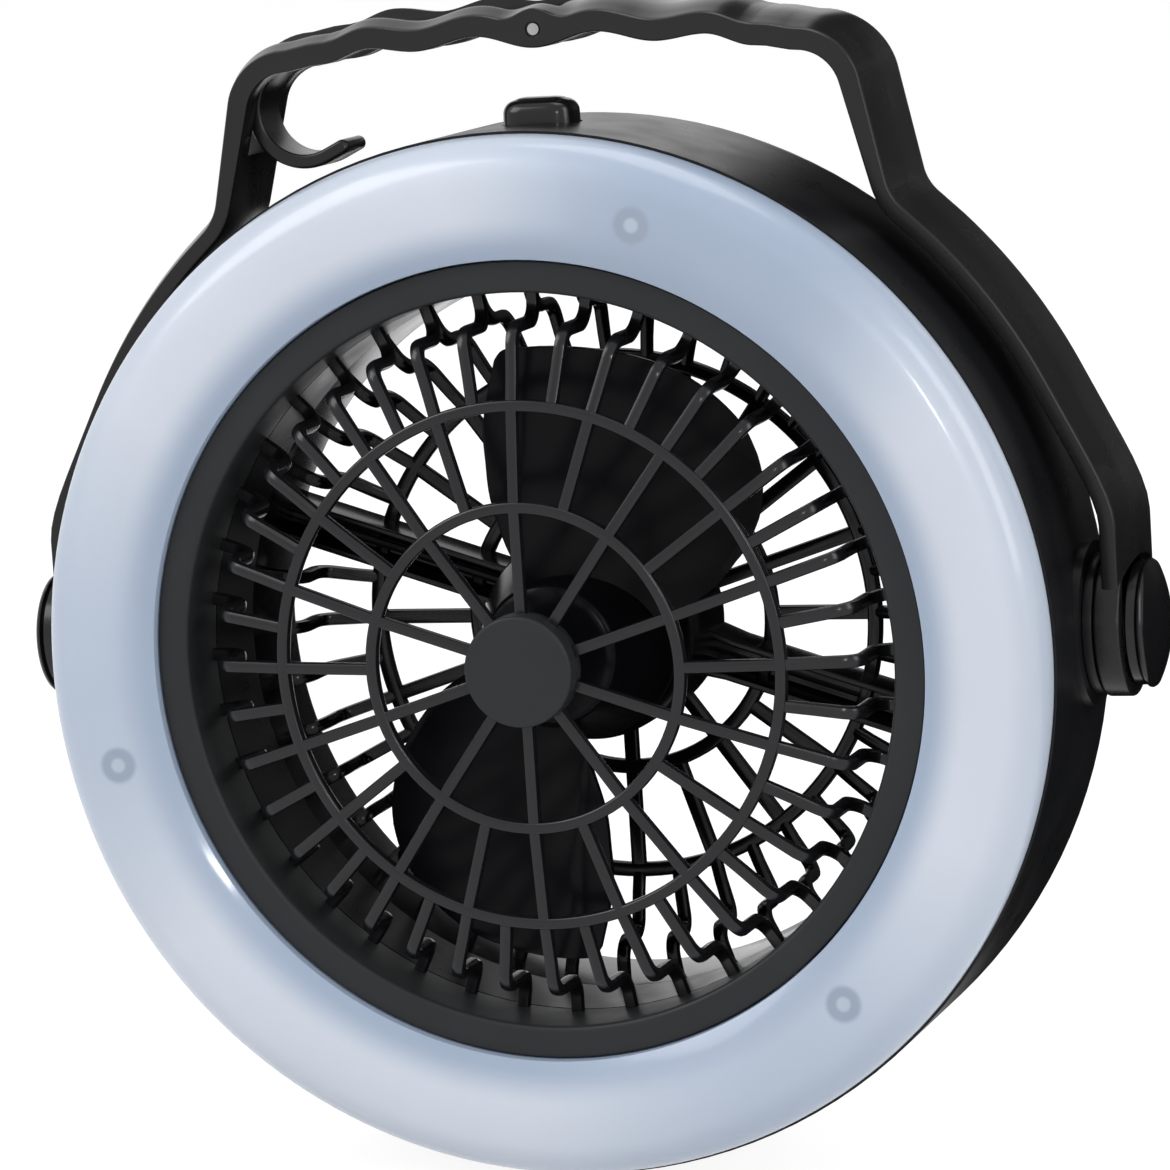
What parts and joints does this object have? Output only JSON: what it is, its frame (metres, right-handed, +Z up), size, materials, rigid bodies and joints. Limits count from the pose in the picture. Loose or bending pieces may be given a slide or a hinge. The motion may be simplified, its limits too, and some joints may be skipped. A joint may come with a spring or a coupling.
{
  "type": "portable camping fan",
  "caption": "Round camping fan with a light ring round its grille, a carrying handle that swings over the drum and a fold-out hanging hook.",
  "frame": {"origin": "centre of the bounding box's bottom face, under the feet", "axes": "+Z up, the air blows towards -Y, +X to the right of someone facing the grille"},
  "size_m": [0.2246, 0.0651, 0.2197],
  "materials": {
    "frosted_diffuser": "frosted, satin",
    "grille_black": "fine matt",
    "housing_black": "satin",
    "duct_black": "gloss",
    "rotor_black": "satin gloss",
    "handle_black": "satin",
    "button_black": "gloss",
    "tray_white": "matt",
    "tray_black": "matt",
    "board_white": "solder mask",
    "board_green": "solder mask",
    "led_yellow": "clear gel",
    "zinc_steel": "zinc plated",
    "shaft_steel": "ground",
    "contact_nickel": "nickel plated",
    "bush_brass": "sintered",
    "winding_copper": "enamelled",
    "magnet_grey": "sintered",
    "cell_wrap": "shrink film",
    "lead_black": "satin",
    "lead_blue": "satin",
    "foot_rubber": "matt"
  },
  "bodies": {
    "fan": {"diffuser_ring": "frosted_diffuser", "led_board": "board_white", "leds": "led_yellow", "light_tray": "tray_white", "ring_screws": "zinc_steel", "front_grille": "grille_black", "grille_screws": "zinc_steel", "rear_housing": "housing_black", "housing_screws": "zinc_steel", "rear_grille": "duct_black", "rear_grille_screws": "zinc_steel", "motor_can": "zinc_steel", "motor_magnets": "magnet_grey", "motor_bushes": "bush_brass", "motor_end_cap": "tray_black", "motor_cover": "grille_black", "motor_screws": "zinc_steel", "motor_lead": "lead_black", "power_switch": "tray_black", "switch_board": "board_green", "board_screws": "zinc_steel", "led_lead": "lead_blue", "battery_tray": "tray_black", "battery_contacts": "contact_nickel", "battery_cells": "cell_wrap", "battery_door": "housing_black", "door_screw": "zinc_steel", "friction_washers": "tray_black", "pivot_inserts": "bush_brass", "pivot_screws": "zinc_steel", "knob_caps": "button_black", "feet": "foot_rubber"},
    "handle": {"handle": "handle_black", "hook_pin": "shaft_steel"},
    "hook": {"hanger_hook": "handle_black"},
    "rotor": {"rotor": "rotor_black", "motor_shaft": "shaft_steel", "motor_armature": "winding_copper"},
    "button": {"power_button": "button_black", "switch_plunger": "tray_white"}
  },
  "joints": [
    {"name": "handle_swing", "type": "hinge", "parent": "fan", "child": "handle", "pos_m": [0, 0.01005, 0.0998], "axis": [-1, 0, 0], "range_deg": [-12, 180]},
    {"name": "hook_swing", "type": "hinge", "parent": "handle", "child": "hook", "pos_m": [0, 0.01005, 0.2141], "axis": [0, 1, 0], "range_deg": [0, 100]},
    {"name": "rotor_spin", "type": "hinge", "parent": "fan", "child": "rotor", "pos_m": [0, 0, 0.0988], "axis": [0, -1, 0], "continuous": true},
    {"name": "button_press", "type": "slide", "parent": "fan", "child": "button", "axis": [0, 0, -1], "range_m": [0, 0.0015], "stiffness_N_per_m": 500, "springref_m": -0.0015}
  ]
}
